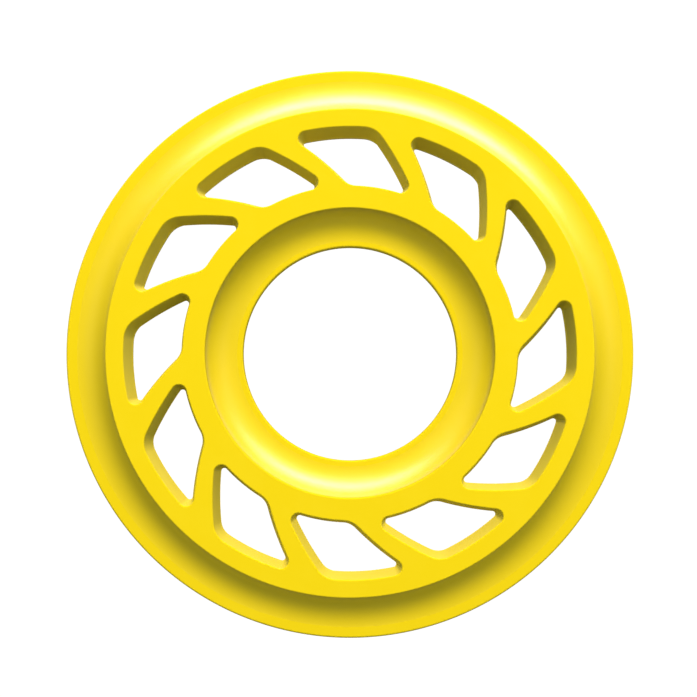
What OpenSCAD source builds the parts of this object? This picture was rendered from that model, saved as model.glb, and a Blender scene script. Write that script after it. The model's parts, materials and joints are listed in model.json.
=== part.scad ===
// Spoked rubber damper wheel. It is one moulding, drawn as the regions in which the
// rubber does different work: a thin flange that seats in a round hole, a thick ring,
// swept spokes that flex, a second thick ring, and a thin lip around the bore.
// The wheel's axis is Z and its origin is the centre of the bore at mid thickness.

/* [Overall] */
// Diameter over the outer flange
outer_d = 42; // [38:0.5:60]
// Diameter of the bore in the inner lip
bore_d = 15.84; // [10:0.02:19]
// Thickness of the wheel between its two flat faces
web_t = 8; // [6.4:0.1:14]

/* [Outer flange] */
// Thickness of the outer flange
flange_t = 1.6; // [1:0.1:2.4]
// Width of the flange's flat, outside the cove
flange_flat_w = 0.8; // [0.5:0.05:2]
// Rounding of the flange's outer edges
flange_edge_r = 0.3; // [0.1:0.05:0.4]

/* [Bore lip] */
// Thickness of the lip around the bore
lip_t = 1.6; // [1:0.1:2.4]
// Width of the lip's flat, inside the cove
lip_flat_w = 0.42; // [0.3:0.02:1.5]
// Rounding of the bore's edges
lip_edge_r = 0.2; // [0.1:0.05:0.4]

/* [Coves] */
// Radius of the cove between the flange and the rim ring
outer_cove_r = 2.4; // [1:0.1:2.4]
// Radius of the cove between the hub ring and the lip
inner_cove_r = 2.2; // [1:0.1:2.4]
// Rounding of the edges of the flat faces
face_edge_r = 0.25; // [0.1:0.05:0.5]

/* [Rings] */
// Width of the rim ring at mid thickness, from the windows to its outer wall
rim_w = 1.64; // [1.2:0.02:3]
// Width of the hub ring at mid thickness, from its inner wall to the windows
hub_w = 1.96; // [1.2:0.02:3]

/* [Spokes and windows] */
// Number of spokes
spoke_n = 12; // [8:1:14]
// Thickness of a spoke, square to its sides, at mid thickness of the wheel
spoke_t = 1.9; // [1.5:0.1:2.4]
// Angle between a spoke and the wheel's radius
sweep_a = 42.5; // [30:0.5:48]
// Draft of the windows' walls, which open towards both faces
draft_a = 4.5; // [1:0.5:6]
// Rounding of a window's two wide corners
heel_r = 1.4; // [0.5:0.1:1.4]
// Rounding of a window's two sharp corners
tip_r = 0.25; // [0.15:0.05:0.5]
// Length of the spoke roots that belong to the two rings, along the radius
root_h = 0.7; // [0.6:0.05:0.8]
// Angle of the first window's centre from the X axis
first_window_a = -2.5; // [-15:0.5:15]

/* [Hidden] */
$fn = 180;
outer_r = outer_d / 2;
bore_r = bore_d / 2;
face_out_r = outer_r - flange_flat_w - outer_cove_r;
face_in_r = bore_r + lip_flat_w + inner_cove_r;
window_out_r = face_out_r - rim_w;
window_in_r = face_in_r + hub_w;
mid_r = (window_out_r + window_in_r) / 2;
// The cuts between the regions: through the thin run of each cove, and across the spokes
flange_cut_r = face_out_r + 0.2 * outer_cove_r;
lip_cut_r = face_in_r - 0.2 * inner_cove_r;
root_out_r = window_out_r - root_h;
root_in_r = window_in_r + root_h;
// A window's share of the circle at mid_r, and the circles that its two sides follow
pitch_a = 360 / spoke_n;
window_a = pitch_a - spoke_t / (mid_r * cos(sweep_a)) * 180 / PI;
flank_r = mid_r / sin(sweep_a);
flank_offset = mid_r / tan(sweep_a);
// The window cutters stand proud of the faces by this much
over = 1;
arc_steps = 5;
rubber = "#ffdf14";

function spoke_name(i) = str("spoke_", i < 10 ? "0" : "", i);

// ---- The wheel's section, in which X is the radius and Y the height ----

module cove_fill(r) {
    difference() {
        square(r);
        translate([r, r]) circle(r);
    }
}

module edge_cut(r) {
    difference() {
        square(r);
        circle(r);
    }
}

module half_section() {
    difference() {
        union() {
            translate([face_in_r, 0]) square([face_out_r - face_in_r, web_t / 2]);
            translate([bore_r, 0]) square([face_in_r - bore_r, lip_t / 2]);
            translate([face_out_r, 0]) square([outer_r - face_out_r, flange_t / 2]);
            translate([face_out_r, flange_t / 2]) cove_fill(outer_cove_r);
            translate([face_in_r, lip_t / 2]) mirror([1, 0]) cove_fill(inner_cove_r);
        }
        translate([face_out_r - face_edge_r, web_t / 2 - face_edge_r]) edge_cut(face_edge_r);
        translate([face_in_r + face_edge_r, web_t / 2 - face_edge_r])
            mirror([1, 0]) edge_cut(face_edge_r);
        translate([outer_r - flange_edge_r, flange_t / 2 - flange_edge_r]) edge_cut(flange_edge_r);
        translate([bore_r + lip_edge_r, lip_t / 2 - lip_edge_r])
            mirror([1, 0]) edge_cut(lip_edge_r);
    }
}

module section() {
    half_section();
    mirror([0, 1]) half_section();
}

// The part of the wheel, windows not yet cut, between two radii
module band(r0, r1) {
    rotate_extrude()
        intersection() {
            section();
            translate([r0, -web_t]) square([r1 - r0, 2 * web_t]);
        }
}

// ---- The windows ----

function unit(a) = [cos(a), sin(a)];
function heading(v) = atan2(v[1], v[0]);
// The shorter turn from one heading to another, from -180 to 180
function turn(a0, a1) = (a1 - a0 + 900) % 360 - 180;
// Points on an arc by the shorter way round, without the last one
function arc(centre, r, a0, a1) =
    [for (i = [0:arc_steps - 1]) centre + r * unit(a0 + turn(a0, a1) * i / arc_steps)];
// The point at distance d0 from the wheel's centre and d1 from the centre of a window side
// that crosses mid_r at angle a
function meeting(a, d0, d1) =
    let (along = (d0 * d0 - d1 * d1 + flank_offset * flank_offset) / (2 * flank_offset))
    along * unit(a + 90) + sqrt(d0 * d0 - along * along) * unit(a);

// The middle line of a window on the X axis, which has the curve of its long sides
function middle_line(r0, r1) =
    [for (k = [0:arc_steps]) meeting(0, r0 + (r1 - r0) * k / arc_steps, flank_r)];
function reversed(points) = [for (k = [len(points) - 1:-1:0]) points[k]];
function turned(points, a) =
    [for (p = points) [p[0] * cos(a) - p[1] * sin(a), p[0] * sin(a) + p[1] * cos(a)]];

// A window's outline, counterclockwise, centred on the X axis and grown by e all round.
// Its long sides follow circles that cross every radius near mid_r at sweep_a.
function outline(e) =
    let (
        right_a = -window_a / 2,
        left_a = window_a / 2,
        right_c = flank_offset * unit(right_a + 90),
        left_c = flank_offset * unit(left_a + 90),
        in_tip = meeting(right_a, window_in_r + tip_r, flank_r - tip_r),
        out_heel = meeting(right_a, window_out_r - heel_r, flank_r - heel_r),
        out_tip = meeting(left_a, window_out_r - tip_r, flank_r + tip_r),
        in_heel = meeting(left_a, window_in_r + heel_r, flank_r + heel_r)
    )
    concat(
        arc(right_c, flank_r + e, heading(in_tip - right_c), heading(out_heel - right_c)),
        arc(out_heel, heel_r + e, heading(out_heel - right_c), heading(out_heel)),
        arc([0, 0], window_out_r + e, heading(out_heel), heading(out_tip)),
        arc(out_tip, tip_r + e, heading(out_tip), heading(left_c - out_tip)),
        arc(left_c, flank_r - e, heading(out_tip - left_c), heading(in_heel - left_c)),
        arc(in_heel, heel_r + e, heading(left_c - in_heel), heading(-in_heel)),
        arc([0, 0], window_in_r - e, heading(in_heel), heading(in_tip)),
        arc(in_tip, tip_r + e, heading(-in_tip), heading(in_tip - right_c))
    );

// A window's cutter: narrowest at mid thickness, and wider towards both faces
module window_cutter(i) {
    top = web_t / 2 + over;
    levels = [-top, 0, top];
    rows = [for (z = levels) [for (p = outline(abs(z) * tan(draft_a))) [p[0], p[1], z]]];
    n = len(rows[0]);
    points = [for (row = rows) each row];
    walls = [for (k = [0:1], j = [0:n - 1])
        [k * n + j, (k + 1) * n + j, (k + 1) * n + (j + 1) % n, k * n + (j + 1) % n]];
    floor_face = [[for (j = [0:n - 1]) j]];
    roof_face = [[for (j = [n - 1:-1:0]) 2 * n + j]];
    rotate(first_window_a + i * pitch_a)
        polyhedron(points, concat(walls, floor_face, roof_face), convexity = 4);
}

module window_cutters() {
    for (i = [0:spoke_n - 1]) window_cutter(i);
}

// ---- The regions of the moulding ----

module outer_flange() {
    color(rubber) band(flange_cut_r, outer_r);
}

module rim_ring() {
    color(rubber)
        difference() {
            band(root_out_r, flange_cut_r);
            window_cutters();
        }
}

// The free length of the spoke that follows window i, counting counterclockwise. It is cut
// out of the annulus between the roots along the middle lines of the windows beside it.
module spoke(i) {
    line = middle_line(root_in_r, root_out_r / cos(pitch_a / 2));
    color(rubber)
        difference() {
            intersection() {
                rotate_extrude()
                    translate([root_in_r, -web_t / 2])
                        square([root_out_r - root_in_r, web_t]);
                rotate(first_window_a + i * pitch_a)
                    linear_extrude(web_t + 2 * over, center = true)
                        polygon(concat(line, turned(reversed(line), pitch_a)));
            }
            window_cutter(i);
            window_cutter(i + 1);
        }
}

module hub_ring() {
    color(rubber)
        difference() {
            band(lip_cut_r, root_in_r);
            window_cutters();
        }
}

module bore_lip() {
    color(rubber) band(bore_r, lip_cut_r);
}

outer_flange();
rim_ring();
for (i = [1:spoke_n])
    spoke(i - 1);
hub_ring();
bore_lip();
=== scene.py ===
# %% [markdown]
# # A spoked rubber damper wheel
#
# The wheel is one moulding of soft yellow rubber. A thin flange round its outside seats in a
# hole, a thin lip round its bore grips an insert, and twelve swept spokes join the thick ring
# behind the flange to the thick ring behind the lip. When the insert shakes, the rubber bends
# in three places: at the outer cove, in the spokes and at the inner cove.
#
# This lesson builds the wheel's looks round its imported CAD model. The model is loaded first,
# because every size and every moving body comes from it.

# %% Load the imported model
import json
import math

import bpy
import numpy as np
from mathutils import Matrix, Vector


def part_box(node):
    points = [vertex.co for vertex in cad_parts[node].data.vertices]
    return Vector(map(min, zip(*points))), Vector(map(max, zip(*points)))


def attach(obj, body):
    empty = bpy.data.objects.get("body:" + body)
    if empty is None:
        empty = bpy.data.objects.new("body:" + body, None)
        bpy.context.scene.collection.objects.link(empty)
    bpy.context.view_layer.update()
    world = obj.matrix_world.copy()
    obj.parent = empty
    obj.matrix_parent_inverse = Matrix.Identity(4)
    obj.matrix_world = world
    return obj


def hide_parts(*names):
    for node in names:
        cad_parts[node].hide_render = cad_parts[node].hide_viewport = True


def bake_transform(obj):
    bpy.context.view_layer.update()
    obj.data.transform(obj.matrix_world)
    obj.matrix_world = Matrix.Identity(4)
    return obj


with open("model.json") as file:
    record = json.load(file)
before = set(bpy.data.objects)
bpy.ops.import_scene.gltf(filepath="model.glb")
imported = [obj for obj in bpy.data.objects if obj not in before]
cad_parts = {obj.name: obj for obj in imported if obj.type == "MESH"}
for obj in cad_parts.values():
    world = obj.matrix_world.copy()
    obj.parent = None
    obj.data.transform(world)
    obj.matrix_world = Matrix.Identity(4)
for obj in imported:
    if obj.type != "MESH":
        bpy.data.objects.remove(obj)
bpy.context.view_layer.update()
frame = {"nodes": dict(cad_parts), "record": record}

# %% [markdown]
# ## Sizes
#
# The radii of the two seats are the mounts in the record, and the web's height is that of the
# rim ring's box. The other sizes of the section are the wheel's own, in millimetres. They
# could be measured off the CAD meshes, but a section is easier to follow when its radii have
# names. Pieces are drawn in millimetres and become metres when their meshes are made.

# %% The sizes of the section and of the windows
MM = 0.001
mounts = {m["name"]: m for m in frame["record"]["mounts"]}
outer_r = mounts["flange_edge"]["dims"]["r_mm"]
bore_r = mounts["bore"]["dims"]["r_mm"]
half_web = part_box("rim_ring")[1].z / MM

half_flange = 0.8
flange_flat_w = 0.8
flange_edge_r = 0.15
outer_cove_r = 2.4
flange_flat_r = outer_r - flange_flat_w
face_out_r = flange_flat_r - outer_cove_r

half_lip = 0.8
lip_flat_w = 0.42
lip_edge_r = 0.12
inner_cove_r = 2.2
lip_flat_r = bore_r + lip_flat_w
face_in_r = lip_flat_r + inner_cove_r

face_edge_r = 0.10
rim_w = 1.64
hub_w = 1.96
window_out_r = face_out_r - rim_w
window_in_r = face_in_r + hub_w
spoke_n = sum(name.startswith("spoke_") for name in frame["nodes"])
spoke_t = 1.9
sweep = math.radians(42.5)
draft = math.radians(4.5)
heel_r = 1.4
tip_r = 0.25
first_window = math.radians(-2.5)
pitch = math.tau / spoke_n
print(f"{spoke_n} spokes; the section's radii in mm:",
      [round(r, 2) for r in (bore_r, lip_flat_r, face_in_r, window_in_r,
                             window_out_r, face_out_r, flange_flat_r, outer_r)])

# %% [markdown]
# ## One way to make every surface
#
# Nearly all of the wheel's skin is a short profile carried along a path: the section turned
# round the axis, or the wall of a window carried round the window's outline. A Screw modifier
# makes the first and a Bevel modifier the second, but a bevel on so thin a web gives uneven
# corners, and each modifier works its normals out afresh, which draws a line where two pieces
# meet. So one small function sweeps a profile and gives each point its true normal, and the
# pieces then meet without a seam.

# %% Sweep a profile and fill a flat face
def swept(profile, path):
    """A patch of skin: each profile point (out, up, normal out, normal up) is carried along
    the path's stations (x, y, direction x, direction y)."""
    out, up, n_out, n_up = np.array(profile, float).T[:, :, None]
    x, y, dx, dy = np.array(path, float).T[:, None, :]
    points = np.stack([x + out * dx, y + out * dy, up + 0 * x], axis=-1)
    normals = np.stack([n_out * dx, n_out * dy, n_up + 0 * x], axis=-1)
    rows, columns = points.shape[:2]
    at = np.arange(rows * columns).reshape(rows, columns)
    faces = np.stack([at[:-1, :-1], at[:-1, 1:], at[1:, 1:], at[1:, :-1]], axis=-1)
    return points.reshape(-1, 3), normals.reshape(-1, 3), faces.reshape(-1, 4).tolist()


def flat(points, normal):
    """A patch of one flat face that looks along its normal."""
    points = np.array(points, float)
    area = np.cross(points, np.roll(points, -1, axis=0)).sum(0)
    if area @ np.array(normal) < 0:
        points = points[::-1]
    return points, np.tile(normal, (len(points), 1)), [list(range(len(points)))]


print("helpers for patches: swept, flat")

# %% [markdown]
# ## From patches to a piece
#
# A piece is one closed mesh. Its patches share the points along their borders, so points that
# fall on the same place are joined, but each corner keeps the normal of its own patch. An edge
# between two patches is then sharp or smooth, just as their profiles say. Merge by Distance
# would join the points too, but the normals would have to be made again afterwards.

# %% Make a piece
same_to_decimals = 5


def piece(name, patches):
    """A closed mesh object of patches, with their points joined and their normals kept."""
    points = np.concatenate([p for p, _, _ in patches])
    normals = np.concatenate([n for _, n, _ in patches])
    starts = np.cumsum([0] + [len(p) for p, _, _ in patches])
    corners = [[start + i for i in face]
               for start, (_, _, faces) in zip(starts, patches) for face in faces]
    rounded = np.round(points, same_to_decimals)
    _, first, same = np.unique(rounded, axis=0, return_index=True, return_inverse=True)
    same = same.reshape(-1)
    mesh = bpy.data.meshes.new(name)
    mesh.from_pydata(points[first] * MM, [], [[int(same[i]) for i in face] for face in corners])
    mesh.polygons.foreach_set("use_smooth", [True] * len(corners))
    mesh.normals_split_custom_set(normals[[i for face in corners for i in face]])
    made = bpy.data.objects.new(name, mesh)
    bpy.context.scene.collection.objects.link(made)
    return made


print("points closer than", 10**-same_to_decimals, "mm are joined")

# %% [markdown]
# ## Arcs and rounded edges
#
# The section is made of straight runs and quarter circles. A run is a list of profile points
# with their normals, and two runs that meet at a sharp corner each bring their own normal to
# it. A straight run needs only its two ends, and a rounded edge ten or so points, because the
# true normals make the shading smooth long before the outline is.

# %% The runs that sections are made of
def arc(centre, radius, start, end, steps, hollow=False):
    """Profile points on an arc, from one angle to another in degrees."""
    angles = np.radians(np.linspace(start, end, steps + 1))
    c, s = np.cos(angles), np.sin(angles)
    side = -1 if hollow else 1
    return list(zip(centre[0] + radius * c, centre[1] + radius * s, side * c, side * s))


def line(start, end, normal, steps=1):
    """Profile points on a straight run."""
    share = np.linspace(0, 1, steps + 1)
    return [(*(np.array(start) + t * (np.array(end) - start)), *normal) for t in share]


def mirrored(runs):
    """The same closed section below the middle plane."""
    return [[(r, -z, nr, -nz) for r, z, nr, nz in reversed(run)] for run in reversed(runs)]


def unit(angle):
    return np.array([math.cos(angle), math.sin(angle)])


def circle_path(start, turn, steps):
    """Stations round the wheel's axis."""
    return [(0, 0, *unit(start + turn * k / steps)) for k in range(steps + 1)]


OUT, IN, UP, DOWN = (1, 0), (-1, 0), (0, 1), (0, -1)
degree = math.radians(1)
columns_per_pitch = round(pitch / degree)
print("columns round the wheel:", columns_per_pitch * spoke_n)

# %% [markdown]
# ## The windows' outline
#
# A window has two long sides that cross every radius at the same slant, which makes the
# spokes lean like the vanes of a turbine. Each side is an arc of a large circle. The window's
# leading corners are wide and its trailing corners sharp, and all four are arcs that run
# smoothly into their neighbours. An outline drawn from arcs can grow evenly: every station
# moves straight into the rubber, so the walls can lean and their edges can be rounded by the
# same sweep that turns the rings.

# %% Points and arcs for an outline
mid_r = (window_out_r + window_in_r) / 2
window_angle = pitch - spoke_t / (mid_r * math.cos(sweep))
flank_r = mid_r / math.sin(sweep)
flank_offset = mid_r / math.tan(sweep)


def heading(v):
    return math.atan2(v[1], v[0])


def meeting(angle, from_axis, from_flank):
    """The point at two distances, from the wheel's axis and from the centre of the window
    side that crosses mid_r at this angle."""
    along = (from_axis**2 - from_flank**2 + flank_offset**2) / (2 * flank_offset)
    across = math.sqrt(from_axis**2 - along**2)
    return along * unit(angle + math.pi / 2) + across * unit(angle)


def stations(centre, radius, start, end, steps, grows=1):
    """Stations on an arc by the shorter way round. Each looks into the rubber."""
    turn = (end - start + 3 * math.pi) % math.tau - math.pi
    angles = [start + turn * k / steps for k in range(steps + 1)]
    return [(*(centre + radius * unit(a)), *(grows * unit(a))) for a in angles]


def joined(*arcs):
    """Arcs in a row, with the point that two of them share kept once."""
    return [p for k, points in enumerate(arcs) for p in (points if k == 0 else points[1:])]


print(f"a window is {math.degrees(window_angle):.1f} degrees wide at radius {mid_r:.2f} mm")

# %% [markdown]
# ## One window, in two halves
#
# The outline is drawn in two halves, each from the middle of one ring's wall to the middle of
# the other's. A spoke then takes the left half of one window and the right half of the next.
# A corner's arc touches a ring's wall and a window side, so its centre lies one corner radius
# away from both, and that is enough to find it.

# %% Draw one window
right, left = -window_angle / 2, window_angle / 2
right_c = flank_offset * unit(right + math.pi / 2)
left_c = flank_offset * unit(left + math.pi / 2)
in_tip = meeting(right, window_in_r + tip_r, flank_r - tip_r)
out_heel = meeting(right, window_out_r - heel_r, flank_r - heel_r)
out_tip = meeting(left, window_out_r - tip_r, flank_r + tip_r)
in_heel = meeting(left, window_in_r + heel_r, flank_r + heel_r)
in_cut = (heading(in_heel) + heading(in_tip)) / 2
out_cut = (heading(out_heel) + heading(out_tip)) / 2
axis_point = np.zeros(2)
corner_steps = 16
flank_steps = 20
ring_steps = 8

window_right = joined(
    stations(axis_point, window_in_r, in_cut, heading(in_tip), ring_steps, grows=-1),
    stations(in_tip, tip_r, heading(-in_tip), heading(in_tip - right_c), corner_steps),
    stations(right_c, flank_r, heading(in_tip - right_c), heading(out_heel - right_c), flank_steps),
    stations(out_heel, heel_r, heading(out_heel - right_c), heading(out_heel), corner_steps),
    stations(axis_point, window_out_r, heading(out_heel), out_cut, ring_steps),
)
window_left = joined(
    stations(axis_point, window_out_r, out_cut, heading(out_tip), ring_steps),
    stations(out_tip, tip_r, heading(out_tip), heading(left_c - out_tip), corner_steps),
    stations(left_c, flank_r, heading(out_tip - left_c), heading(in_heel - left_c), flank_steps,
             grows=-1),
    stations(in_heel, heel_r, heading(left_c - in_heel), heading(-in_heel), corner_steps),
    stations(axis_point, window_in_r, heading(in_heel), in_cut, ring_steps, grows=-1),
)
print("stations round a window:", len(window_right) + len(window_left) - 2)

# %% [markdown]
# ## The windows' walls
#
# The rubber leaves its mould in two halves, so a window is narrowest at mid thickness and
# opens towards both faces. Where the halves of the mould met, a hair of rubber stands out: the
# parting line. It could be a bump in the material, but it shows on the outline when the wheel
# is seen from close by, so it is a real ridge, three hundredths of a millimetre high. The
# wall's profile runs from the top face, over the rounded edge and down to the parting line,
# and the lower half is its mirror image.

# %% The profile of a window's wall
flash_h = 0.03
flash_w = 0.12
edge_steps = 8
ridge_steps = 4
ridge_r = (flash_h**2 + (flash_w / 2)**2) / (2 * flash_h)
ridge_angle = math.degrees(math.asin(flash_w / 2 / ridge_r))

edge_z = half_web - face_edge_r
edge_e = edge_z * math.tan(draft) + face_edge_r / math.cos(draft)
lean = math.degrees(draft)
foot_e = flash_w / 2 * math.tan(draft)
upper_wall = [
    *arc((edge_e, edge_z), face_edge_r, 90, 180 - lean, edge_steps),
    (foot_e, flash_w / 2, -math.cos(draft), math.sin(draft)),
]
lower_wall = [(e, -z, ne, -nz) for e, z, ne, nz in reversed(upper_wall)]
ridge = arc((foot_e - flash_h + ridge_r, 0), ridge_r, 180 - ridge_angle, 180 + ridge_angle,
            ridge_steps)
wall_runs = [upper_wall, ridge, lower_wall]
print(f"the wall opens by {edge_e:.2f} mm from the parting line to the face")

# %% [markdown]
# ## The spokes
#
# A spoke is the stretch of web between two windows. The ring parts at its ends, its feet,
# reach to the middle of each window, so that a whole window edge is carried by the pieces that
# really form it. The flat faces could be grids of small squares, but they stay flat in every
# pose, because the wheel only twists about its axis there, so each is a single face.

# %% Cuts and feet
hub_join_w = 0.15
rim_join_w = 0.1
hub_join_r = window_in_r - edge_e - hub_join_w
rim_join_r = window_out_r + edge_e + rim_join_w


def turned(path, angle):
    """A path turned about the wheel's axis."""
    c, s = math.cos(angle), math.sin(angle)
    return [(x * c - y * s, x * s + y * c, dx * c - dy * s, dx * s + dy * c)
            for x, y, dx, dy in path]


def along(path, profile_point):
    """The points that one profile point passes through on its way along a path."""
    e, z = profile_point[:2]
    return [(x + e * dx, y + e * dy, z) for x, y, dx, dy in path]


def foot_end(station, join_r, angle, side):
    """The flat cut through a foot, at the middle of a window's inner or outer wall."""
    wall = [along([station], p)[0] for p in joined(*wall_runs)]
    x, y = join_r * unit(angle)
    return flat([(x, y, half_web), *wall, (x, y, -half_web)],
                (*(side * unit(angle + math.pi / 2)), 0))


print(f"a spoke with its feet reaches from radius {hub_join_r:.2f} to {rim_join_r:.2f} mm")

# %% [markdown]
# ## Closing each spoke
#
# Besides its window walls, a spoke has two curved cuts that part it from the rings, two flat
# faces above and below, and four small cuts that end its feet. Where two of these meet, both
# take their points from one path, so no gap can open between them.

# %% Build the spokes
def build_spoke(number):
    """Spoke 1 stands between the first window and the next one, counting anticlockwise."""
    angle = first_window + (number - 1) * pitch
    near, far = turned(window_left, angle), turned(window_right, angle + pitch)
    in_path = circle_path(angle + in_cut, pitch, columns_per_pitch)
    out_path = circle_path(angle + out_cut, pitch, columns_per_pitch)
    patches = [swept(run, path) for path in (near, far) for run in wall_runs]
    patches.append(swept(line((rim_join_r, -half_web), (rim_join_r, half_web), OUT), out_path))
    patches.append(swept(line((hub_join_r, half_web), (hub_join_r, -half_web), IN), in_path))
    for z, edge, facing in ((half_web, upper_wall[0], 1), (-half_web, lower_wall[-1], -1)):
        outline = [
            *along(out_path, (rim_join_r, z)),
            *reversed(along(far, edge)),
            *reversed(along(in_path, (hub_join_r, z))),
            *reversed(along(near, edge)),
        ]
        patches.append(flat(outline, (0, 0, facing)))
    patches += [
        foot_end(near[0], rim_join_r, angle + out_cut, -1),
        foot_end(near[-1], hub_join_r, angle + in_cut, -1),
        foot_end(far[0], hub_join_r, angle + pitch + in_cut, 1),
        foot_end(far[-1], rim_join_r, angle + pitch + out_cut, 1),
    ]
    return piece(f"spoke_blade_{number:02d}", patches)


spokes = [build_spoke(number) for number in range(1, spoke_n + 1)]
print(len(spokes), "spokes of", len(spokes[0].data.polygons), "faces")

# %% [markdown]
# ## The two rings
#
# Everything else is turned. The rings are thick and hardly bend, so each is a plain turned
# piece. The turned pieces start at the same angle as the feet they meet, so their columns of
# points fall on the same places.

# %% Build the rings
def turned_piece(name, runs, start):
    """A piece turned round the wheel's axis, from an angle and all the way round."""
    path = circle_path(start, math.tau, columns_per_pitch * spoke_n)
    return piece(name, [swept(run, path) for run in runs])


rim_start = first_window + out_cut
hub_start = first_window + in_cut
out_edge = face_out_r - face_edge_r
in_edge = face_in_r + face_edge_r
edge_top = half_web - face_edge_r
outer_cove_top = half_flange + outer_cove_r
inner_cove_top = half_lip + inner_cove_r

rim_ring_runs = [
    line((rim_join_r, -half_web), (out_edge, -half_web), DOWN),
    [*arc((out_edge, -edge_top), face_edge_r, -90, 0, edge_steps),
     *line((face_out_r, -outer_cove_top), (face_out_r, outer_cove_top), OUT),
     *arc((out_edge, edge_top), face_edge_r, 0, 90, edge_steps)],
    line((out_edge, half_web), (rim_join_r, half_web), UP),
    line((rim_join_r, half_web), (rim_join_r, -half_web), IN),
]
hub_ring_runs = [
    line((in_edge, -half_web), (hub_join_r, -half_web), DOWN),
    line((hub_join_r, -half_web), (hub_join_r, half_web), OUT),
    line((hub_join_r, half_web), (in_edge, half_web), UP),
    [*arc((in_edge, edge_top), face_edge_r, 90, 180, edge_steps),
     *line((face_in_r, inner_cove_top), (face_in_r, -inner_cove_top), IN),
     *arc((in_edge, -edge_top), face_edge_r, 180, 270, edge_steps)],
]
rim_ring = turned_piece("rim_ring_skin", rim_ring_runs, rim_start)
hub_ring = turned_piece("hub_ring_skin", hub_ring_runs, hub_start)
print("rings:", len(rim_ring.data.polygons), "and", len(hub_ring.data.polygons), "faces")

# %% [markdown]
# ## The four halves of the coves
#
# The two coves are where the flange and the lip hinge, so they are pieces of their own, an
# upper and a lower half that meet at mid thickness. Each is a hollow quarter circle and needs
# enough steps to bend smoothly, and so does the wall behind it.

# %% Build the coves
cove_steps = 32
wall_steps = 8
outer_cove_runs = [
    line((face_out_r, 0), (flange_flat_r, 0), DOWN),
    line((flange_flat_r, 0), (flange_flat_r, half_flange), OUT),
    arc((flange_flat_r, outer_cove_top), outer_cove_r, 270, 180, cove_steps, hollow=True),
    line((face_out_r, outer_cove_top), (face_out_r, 0), IN, wall_steps),
]
inner_cove_runs = [
    line((lip_flat_r, 0), (face_in_r, 0), DOWN),
    line((face_in_r, 0), (face_in_r, inner_cove_top), OUT, wall_steps),
    arc((lip_flat_r, inner_cove_top), inner_cove_r, 0, -90, cove_steps, hollow=True),
    line((lip_flat_r, half_lip), (lip_flat_r, 0), IN),
]
outer_coves = [turned_piece("outer_cove_upper", outer_cove_runs, rim_start),
               turned_piece("outer_cove_lower", mirrored(outer_cove_runs), rim_start)]
inner_coves = [turned_piece("inner_cove_upper", inner_cove_runs, hub_start),
               turned_piece("inner_cove_lower", mirrored(inner_cove_runs), hub_start)]
print("coves:", [len(cove.data.polygons) for cove in outer_coves + inner_coves], "faces")

# %% [markdown]
# ## The two seats
#
# The flange's edge sits in the hole that holds the wheel, and it carries the parting line. The
# lip's edge grips the insert. Both are thin rings with rounded edges, and neither bends.

# %% Build the seats
flange_wall = outer_r - flange_edge_r
flange_corner = half_flange - flange_edge_r
flange_runs = [
    line((flange_flat_r, -half_flange), (flange_wall, -half_flange), DOWN),
    [*arc((flange_wall, -flange_corner), flange_edge_r, -90, 0, edge_steps),
     (outer_r, -flash_w / 2, *OUT)],
    arc((outer_r + flash_h - ridge_r, 0), ridge_r, -ridge_angle, ridge_angle, ridge_steps),
    [(outer_r, flash_w / 2, *OUT),
     *arc((flange_wall, flange_corner), flange_edge_r, 0, 90, edge_steps)],
    line((flange_wall, half_flange), (flange_flat_r, half_flange), UP),
    line((flange_flat_r, half_flange), (flange_flat_r, -half_flange), IN),
]
lip_wall = bore_r + lip_edge_r
lip_corner = half_lip - lip_edge_r
lip_runs = [
    line((lip_wall, -half_lip), (lip_flat_r, -half_lip), DOWN),
    line((lip_flat_r, -half_lip), (lip_flat_r, half_lip), OUT),
    line((lip_flat_r, half_lip), (lip_wall, half_lip), UP),
    [*arc((lip_wall, lip_corner), lip_edge_r, 90, 180, edge_steps),
     *arc((lip_wall, -lip_corner), lip_edge_r, 180, 270, edge_steps)],
]
flange_edge = turned_piece("flange_edge", flange_runs, rim_start)
lip_edge = turned_piece("lip_edge", lip_runs, hub_start)
print("seats:", len(flange_edge.data.polygons), "and", len(lip_edge.data.polygons), "faces")

# %% [markdown]
# ## The camera
#
# The wheel is seen almost square to its face, from about four diameters away, with a long
# lens. The camera stands a degree below the wheel's axis. The small shift centres the wheel
# without turning the camera, so the circles stay round.

# %% Place the camera
camera_distance = 0.170
camera_drop = 0.0034
camera_data = bpy.data.cameras.new("camera")
camera_data.lens = 118.07
camera_data.sensor_width = 36
camera_data.shift_x = -0.0020
camera_data.shift_y = 0.0078
camera_data.clip_start = 0.01
camera_data.clip_end = 10
camera = bpy.data.objects.new("camera", camera_data)
bpy.context.scene.collection.objects.link(camera)
camera.location = (0, -camera_drop, camera_distance)
camera.rotation_euler = (-camera.location).to_track_quat("-Z", "Y").to_euler()
bpy.context.scene.camera = camera
print(f"camera {camera.location.length / (2 * outer_r * MM):.1f} diameters away")

# %% [markdown]
# ## Building effects out of nodes
#
# A moulded surface is never one even colour: the mould leaves a grain, the rubber's pigment
# drifts a little, and handling leaves a film. The same three effects are on every part of the
# wheel in different amounts, so each is a node group with named inputs and outputs, made once
# and placed in every finish with that finish's own values. A few short helpers keep the wiring
# readable: the first adds a node with its settings, the second starts a group with its sockets.

# %% Add nodes and start groups
def add(tree, kind, settings=None, **inputs):
    """A node of that kind, with its settings, its plain inputs and its linked inputs."""
    made = tree.nodes.new("ShaderNode" + kind)
    for name, value in (settings or {}).items():
        setattr(made, name, value)
    for name, value in inputs.items():
        socket = made.inputs[int(name[2:]) if name.startswith("at") else name.replace("_", " ")]
        if isinstance(value, bpy.types.NodeSocket):
            tree.links.new(value, socket)
        else:
            socket.default_value = value
    return made


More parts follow.
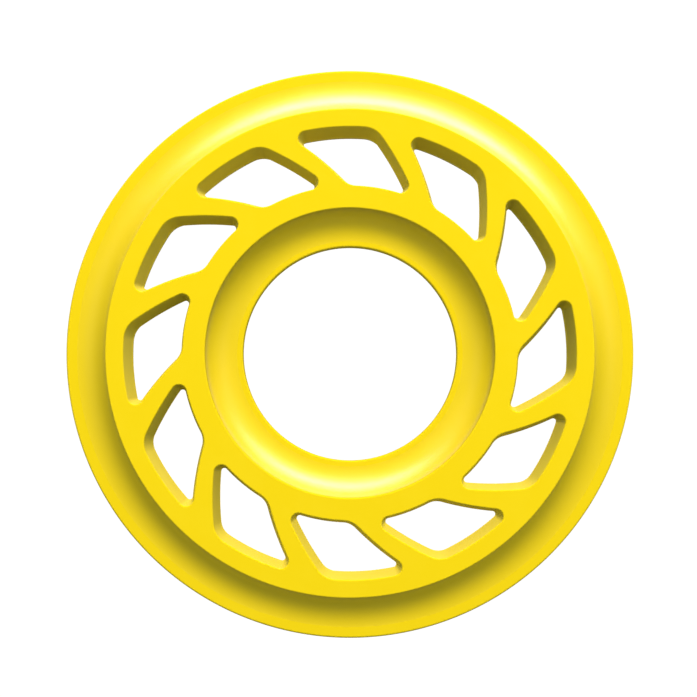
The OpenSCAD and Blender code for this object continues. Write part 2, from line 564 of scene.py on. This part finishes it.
def start_group(name, inputs, outputs):
    """A node group with named number sockets. Gives the group, its input and its output node."""
    tree = bpy.data.node_groups.new(name, "ShaderNodeTree")
    for label, value in inputs.items():
        socket = tree.interface.new_socket(label, in_out="INPUT", socket_type="NodeSocketFloat")
        socket.default_value = value
    for label in outputs:
        tree.interface.new_socket(label, in_out="OUTPUT", socket_type="NodeSocketFloat")
    return tree, tree.nodes.new("NodeGroupInput"), tree.nodes.new("NodeGroupOutput")


def place(tree, group, **values):
    """A group placed in a material, with its own values."""
    made = add(tree, "Group", {"node_tree": group}, **values)
    return made.outputs


print("helpers for nodes: add, start_group, place")

# %% [markdown]
# ## Places, sums and colours
#
# Three more helpers cover what every effect needs. Patterns are laid out in metres on the
# wheel, and not on a UV map, so a pit has the same size on every piece.

# %% Lay out patterns and mix
def across(tree, per_metre, stretch=(1, 1, 1)):
    """Places on the wheel, scaled so that one unit is one pattern size."""
    place_on = add(tree, "TexCoord").outputs["Object"]
    stretched = add(tree, "VectorMath", {"operation": "MULTIPLY"}, at0=place_on, at1=stretch)
    return add(tree, "VectorMath", {"operation": "SCALE"},
               at0=stretched.outputs[0], Scale=per_metre).outputs[0]


def maths(tree, operation, first, second=0.0, clamp=False):
    """One sum of two numbers. Its result is kept between 0 and 1 when it is clamped."""
    return add(tree, "Math", {"operation": operation, "use_clamp": clamp},
               at0=first, at1=second).outputs[0]


def blended_colour(tree, factor, first, second):
    """The first colour where the factor is 0 and the second where it is 1."""
    return add(tree, "Mix", {"data_type": "RGBA"}, at0=factor, at6=first, at7=second).outputs[2]


print("helpers for effects: across, maths, blended_colour")

# %% [markdown]
# ## The mould's grain and the pigment's drift
#
# The mould for a damper is spark-eroded or blasted, and the rubber copies its fine, soft pits.
# A picture of leather or a voronoi pattern would be too regular, so a noise with little detail
# gives the height. A second, much larger noise is the slow drift of the pigment.

# %% Group: moulded grain
grain_group, given, result = start_group(
    "moulded_grain", {"Grain per metre": 8000, "Patches per metre": 220}, ("Height", "Drift"))
pits = add(grain_group, "TexNoise", Scale=1.0, Detail=2.0, Roughness=0.5,
           Vector=across(grain_group, given.outputs["Grain per metre"]))
patches = add(grain_group, "TexNoise", Scale=1.0, Detail=3.0, Roughness=0.6,
              Vector=across(grain_group, given.outputs["Patches per metre"]))
grain_group.links.new(pits.outputs["Fac"], result.inputs["Height"])
grain_group.links.new(patches.outputs["Fac"], result.inputs["Drift"])
print(grain_group.name, "made of", len(grain_group.nodes), "nodes")

# %% [markdown]
# ## Lines where the mould was drawn
#
# When the mould opens, its pins slide out of the windows and off the rims and rub faint lines
# into the walls, along the axis. They are only on surfaces that stand upright, so the group
# finds those from the normal and stretches a noise along the axis.

# %% Group: draw lines
along_axis = (1, 1, 0.04)
steepness = 2.0
draw_group, given, result = start_group("draw_lines", {"Lines per metre": 5000}, ("Height",))
facing = add(draw_group, "SeparateXYZ", Vector=add(draw_group, "TexCoord").outputs["Normal"])
level = maths(draw_group, "ABSOLUTE", facing.outputs["Z"])
tilted = maths(draw_group, "SUBTRACT", 1.0, level, clamp=True)
upright = maths(draw_group, "POWER", tilted, steepness)
streaks = add(draw_group, "TexNoise", Scale=1.0, Detail=1.0, Roughness=0.5,
              Vector=across(draw_group, given.outputs["Lines per metre"], along_axis))
draw_group.links.new(maths(draw_group, "MULTIPLY", streaks.outputs["Fac"], upright),
                     result.inputs["Height"])
print(draw_group.name, "made of", len(draw_group.nodes), "nodes")

# %% [markdown]
# ## The film of handling
#
# Soft rubber takes a dull film where fingers and packing touch it: on the raised faces and the
# outer edge, less in the hollows. The film is a soft patchy mask, stronger on level faces. It
# makes the rubber a little duller and paler.

# %% Group: handling film
level_share = 0.6
anywhere_share = 0.4
film_group, given, result = start_group(
    "handling_film", {"Smudges per metre": 400, "Amount": 0.5}, ("Film",))
smudge = add(film_group, "TexNoise", Scale=1.0, Detail=4.0, Roughness=0.65,
             Vector=across(film_group, given.outputs["Smudges per metre"]))
patchy = add(film_group, "MapRange", {"interpolation_type": "SMOOTHSTEP"},
             Value=smudge.outputs["Fac"], From_Min=0.42, From_Max=0.68)
facing = add(film_group, "SeparateXYZ", Vector=add(film_group, "TexCoord").outputs["Normal"])
level = maths(film_group, "MULTIPLY", maths(film_group, "ABSOLUTE", facing.outputs["Z"]),
              level_share)
touched = maths(film_group, "MULTIPLY", patchy.outputs["Result"],
                maths(film_group, "ADD", level, anywhere_share))
film_group.links.new(maths(film_group, "MULTIPLY", touched, given.outputs["Amount"]),
                     result.inputs["Film"])
print(film_group.name, "made of", len(film_group.nodes), "nodes")

# %% [markdown]
# ## The rubber's finishes
#
# The wheel is one colour of rubber, a strong yellow, but its skin has three finishes. The web
# and the spokes carry the mould's grain. The coves are polished in the mould, because a rough
# cove would crack there first. The two seats are the plainest and the most handled.
#
# Light that bounces between yellow walls turns orange in a render sooner than it does on the
# real wheel, whose rubber scatters it. So for bounced light the rubber is a plain pale grey,
# which the Light Path node tells apart, and the eye always sees the yellow.
#
# Seen at a glancing angle, soft rubber loses its gloss, because its fine pits hide each other.
# A Layer Weight node finds that angle and adds to the roughness there.

# %% The rubber's colours and amounts
fresh_yellow = (0.955, 0.790, 0.0012, 1)
deep_yellow = (0.935, 0.768, 0.0010, 1)
film_yellow = (0.955, 0.793, 0.0040, 1)
bounce_grey = (0.22, 0.22, 0.22, 1)
drift_dulling = 0.06
film_dulling = 0.16
glancing_dulling = 0.5
rubber_ior = 1.52
grain_per_metre = 7500.0
patches_per_metre = 210.0
draw_lines_per_metre = 5200.0
smudges_per_metre = 380.0
print(f"grain {1000 / grain_per_metre:.2f} mm wide, smudges {1000 / smudges_per_metre:.1f} mm")

# %% [markdown]
# ## One finish from three effects
#
# The function wires the effects to one Principled shader. Drift and film change the colour and
# the roughness, and a Bump node turns the grain and the lines into relief. The index of
# refraction and the gloss are the same all over a finish, so they are set on the shader's own
# sockets. The polished coves reflect more than the rest.

# %% Make the three finishes
def rubber_finish(name, polish, gloss, grain_height, line_height, film_amount):
    """One finish of the yellow rubber. Polish is its roughness, gloss is how strongly it
    reflects, and the heights are in metres."""
    finish = bpy.data.materials.new(name)
    finish.use_nodes = True
    tree = finish.node_tree
    shader = tree.nodes["Principled BSDF"]
    grain = place(tree, grain_group, Grain_per_metre=grain_per_metre,
                  Patches_per_metre=patches_per_metre)
    lines = place(tree, draw_group, Lines_per_metre=draw_lines_per_metre)
    film = place(tree, film_group, Smudges_per_metre=smudges_per_metre, Amount=film_amount)["Film"]
    yellow = blended_colour(tree, grain["Drift"], fresh_yellow, deep_yellow)
    seen = blended_colour(tree, film, yellow, film_yellow)
    bounced = add(tree, "LightPath").outputs["Is Diffuse Ray"]
    tree.links.new(blended_colour(tree, bounced, seen, bounce_grey), shader.inputs["Base Color"])

    dulled = maths(tree, "MULTIPLY", film, film_dulling)
    drifted = maths(tree, "MULTIPLY", grain["Drift"], drift_dulling)
    facing_away = add(tree, "LayerWeight", Blend=0.5).outputs["Facing"]
    glancing = add(tree, "MapRange", {"interpolation_type": "SMOOTHSTEP"}, Value=facing_away,
                   From_Min=0.45, From_Max=0.95, To_Max=glancing_dulling).outputs["Result"]
    rough = maths(tree, "ADD", maths(tree, "ADD", drifted, polish), dulled)
    tree.links.new(maths(tree, "ADD", rough, glancing), shader.inputs["Roughness"])

    line_share = line_height / grain_height
    line_height_share = maths(tree, "MULTIPLY", lines["Height"], line_share)
    height = maths(tree, "ADD", grain["Height"], line_height_share)
    relief = add(tree, "Bump", Strength=1.0, Distance=grain_height, Height=height)
    tree.links.new(relief.outputs["Normal"], shader.inputs["Normal"])
    shader.inputs["IOR"].default_value = rubber_ior
    shader.inputs["Specular IOR Level"].default_value = gloss
    print(f"finish {name}: roughness from {polish}, grain {grain_height * 1e6:.1f} micrometres")
    return finish


micrometre = 1e-6
web_finish = rubber_finish("web_rubber", polish=0.37, gloss=0.5, grain_height=2.2 * micrometre,
                           line_height=4 * micrometre, film_amount=0.5)
cove_finish = rubber_finish("cove_rubber", polish=0.36, gloss=1.0, grain_height=1.2 * micrometre,
                            line_height=2 * micrometre, film_amount=0.3)
seat_finish = rubber_finish("seat_rubber", polish=0.39, gloss=0.5, grain_height=2.0 * micrometre,
                            line_height=3 * micrometre, film_amount=0.6)

# %% [markdown]
# ## What the rings and the seats ride on
#
# The wheel is one moulding, so where it bends, a piece would have to bend between two bodies.
# The spokes and the coves are only set in place here, with nothing that bends them. The
# rings and the seats don't bend, and each rides on its own body.

# %% Give the pieces their finishes and let the rings and seats ride
finishes = {web_finish: (*spokes, rim_ring, hub_ring),
            cove_finish: (*outer_coves, *inner_coves),
            seat_finish: (flange_edge, lip_edge)}
for finish, pieces in finishes.items():
    for made in pieces:
        made.data.materials.append(finish)

for number, spoke in enumerate(spokes, 1):
    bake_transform(spoke)
    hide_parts(f"spoke_{number:02d}")

for side, cove in zip((1, -1), outer_coves):
    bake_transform(cove)
for side, cove in zip((1, -1), inner_coves):
    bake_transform(cove)

for made, body, node in ((rim_ring, "rim", "rim_ring"), (hub_ring, "hub", "hub_ring"),
                         (flange_edge, "seat", "outer_flange"), (lip_edge, "lip", "bore_lip")):
    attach(made, body)
    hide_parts(node)
print("pieces that bend:", len(spokes) + len(outer_coves) + len(inner_coves))

# %% [markdown]
# ## A pale table
#
# Small rubber parts are often shown on a light table, a sheet of white acrylic lit from
# below, because it takes the shadow away. The table shows itself white, with a soft ring of
# painted shadow under the flange, round the foot that the wheel stands on. An Ambient
# Occlusion node could find such shade by itself, but that greys the windows as well, so the
# shadow is painted as a grey ramp over the distance from the axis. The table must not throw
# its light into the windows, so to every ray but the camera's it is clear, and what lights the
# wheel is the studio alone.

# %% Lay the table
table_half = 1.0
table_gap = 0.02 * MM
table_mesh = bpy.data.meshes.new("light_table")
table_corners = [(-table_half, -table_half, 0), (table_half, -table_half, 0),
                 (table_half, table_half, 0), (-table_half, table_half, 0)]
table_mesh.from_pydata(table_corners, [], [(0, 1, 2, 3)])
table = bpy.data.objects.new("light_table", table_mesh)
bpy.context.scene.collection.objects.link(table)
table.location.z = -half_web * MM - table_gap
print(f"light table {2 * table_half:.0f} m wide, {table_gap / MM:.2f} mm below the wheel")

# %% [markdown]
# ## The table's acrylic
#
# The acrylic gives its own light. Its painted ring of shadow is a smooth ramp in that light
# from the foot out to the flange, and a second ramp under the foot brings back the white in
# the windows. A Mix Shader and a clear shader hide the table from every ray but the camera's.

# %% Make the acrylic
shade_start = rim_join_r * MM
shade_past_flange = 0.3
shade_end = (outer_r + shade_past_flange) * MM
# painted shadow: the grey of the ring painted on the table round the wheel's foot
painted_shadow_grey = (0.60, 0.59, 0.57, 1)
table_white = (1, 1, 1, 1)

acrylic = bpy.data.materials.new("white_acrylic")
acrylic.use_nodes = True
tree = acrylic.node_tree
surface = tree.nodes["Principled BSDF"]
surface.inputs["Base Color"].default_value = (0.05, 0.05, 0.05, 1)
surface.inputs["Roughness"].default_value = 0.9
surface.inputs["Specular IOR Level"].default_value = 0.0
surface.inputs["Emission Strength"].default_value = 1.0
from_axis = add(tree, "VectorMath", {"operation": "LENGTH"},
                at0=add(tree, "TexCoord").outputs["Object"]).outputs["Value"]
clearing = add(tree, "MapRange", {"interpolation_type": "SMOOTHSTEP"}, Value=from_axis,
               From_Min=face_out_r * MM, From_Max=shade_end).outputs["Result"]
in_windows = add(tree, "MapRange", {"interpolation_type": "SMOOTHSTEP"}, Value=from_axis,
                 From_Min=shade_start, From_Max=face_out_r * MM,
                 To_Min=1.0, To_Max=0.0).outputs["Result"]
# painted shadow: grey under the flange, white in the windows and beyond the flange
painted_shadow_clear_share = maths(tree, "MAXIMUM", clearing, in_windows)
tree.links.new(blended_colour(tree, painted_shadow_clear_share, painted_shadow_grey, table_white),
               surface.inputs["Emission Color"])
to_camera = add(tree, "LightPath").outputs["Is Camera Ray"]
clear = add(tree, "BsdfTransparent")
either = add(tree, "MixShader", at0=to_camera, at1=clear.outputs[0], at2=surface.outputs[0])
tree.links.new(either.outputs[0], tree.nodes["Material Output"].inputs["Surface"])
table_mesh.materials.append(acrylic)
print(f"the shade ends {shade_end / MM:.1f} mm from the axis")

# %% [markdown]
# ## Soft studio light
#
# One large softbox stands above the wheel's upper edge and models the coves: it fills the
# upper outer cove and the lower inner cove and leaves their opposites in shade. A board on
# each side keeps the left and right walls open. They light the rubber without leaving their
# own gloss on it. A low, wide strip at the top does the reverse: it only makes the pale satin
# band, and light linking keeps it to the coves, because at a low angle its glare would whiten
# the flat faces. In the same way a glow through the table brightens only the windows' walls.
# None of the lights casts a shadow, as for a plain catalogue picture.

# %% Make a softbox
light_distance = 0.5


def softbox(name, azimuth, elevation, width, height, watts, colour, gloss_on=None):
    """An area light aimed at the wheel. It lights all the rubber and leaves no gloss, or it
    makes gloss on the named pieces and lights nothing."""
    data = bpy.data.lights.new(name, "AREA")
    data.shape = "RECTANGLE"
    data.size = width
    data.size_y = height
    data.energy = watts
    data.color = colour
    data.use_shadow = False
    box = bpy.data.objects.new(name, data)
    bpy.context.scene.collection.objects.link(box)
    turn = math.radians(azimuth)
    rise = math.radians(elevation)
    box.location = light_distance * Vector((*unit(turn) * math.cos(rise), math.sin(rise)))
    box.rotation_euler = (-box.location).to_track_quat("-Z", "Y").to_euler()
    box.visible_diffuse = gloss_on is None
    box.visible_glossy = gloss_on is not None
    if gloss_on is not None:
        reached = bpy.data.collections.new(name + "_pieces")
        box.light_linking.receiver_collection = reached
        for made in gloss_on:
            reached.objects.link(made)
    print(f"{name}: {watts} W at {azimuth} degrees round, {elevation} up")


print("softboxes stand", light_distance, "m from the wheel")

# %% [markdown]
# ## The studio's five lamps
#
# The key light is warm and the strip a little rosy, because yellow rubber turns white light
# lemon where it is brightest. The boards are weak and plain. The glow is greenish, which
# brings the window walls back to the yellow of the faces.

# %% Place the lamps
warm_white = (1.0, 0.84, 0.70)
plain_white = (1.0, 1.0, 1.0)
rose_white = (1.0, 0.72, 1.0)
green_white = (0.70, 1.0, 0.85)
softbox("top_softbox", azimuth=82, elevation=36, width=0.25, height=0.25, watts=3.2,
        colour=warm_white)
softbox("right_board", azimuth=10, elevation=38, width=0.25, height=0.25, watts=0.42,
        colour=plain_white)
softbox("left_board", azimuth=170, elevation=38, width=0.25, height=0.25, watts=0.30,
        colour=plain_white)
softbox("gloss_strip", azimuth=82, elevation=7, width=0.75, height=0.26, watts=7.0,
        colour=rose_white, gloss_on=(*outer_coves, *inner_coves))
softbox("table_glow", azimuth=82, elevation=-65, width=0.40, height=0.50, watts=2.0,
        colour=green_white, gloss_on=spokes)

# %% [markdown]
# ## The room
#
# An even white room lights what the lamps don't reach. It stays out of the gloss, because its
# reflection would lighten the steep walls. The camera sees it fully white, whatever its
# strength as a light, so the background goes on white past the end of the table.

# %% Light the room
room = bpy.data.worlds.new("white_room")
bpy.context.scene.world = room
room.use_nodes = True
room_strength = 0.23
seen_by_camera = add(room.node_tree, "LightPath").outputs["Is Camera Ray"]
room_light = room.node_tree.nodes["Background"].inputs
room_light["Color"].default_value = (1, 1, 1, 1)
room.node_tree.links.new(maths(room.node_tree, "MAXIMUM", seen_by_camera, room_strength),
                         room_light["Strength"])
room.cycles_visibility.glossy = False
bpy.context.scene.view_settings.view_transform = "Standard"
print("the room lights with strength", room_strength)
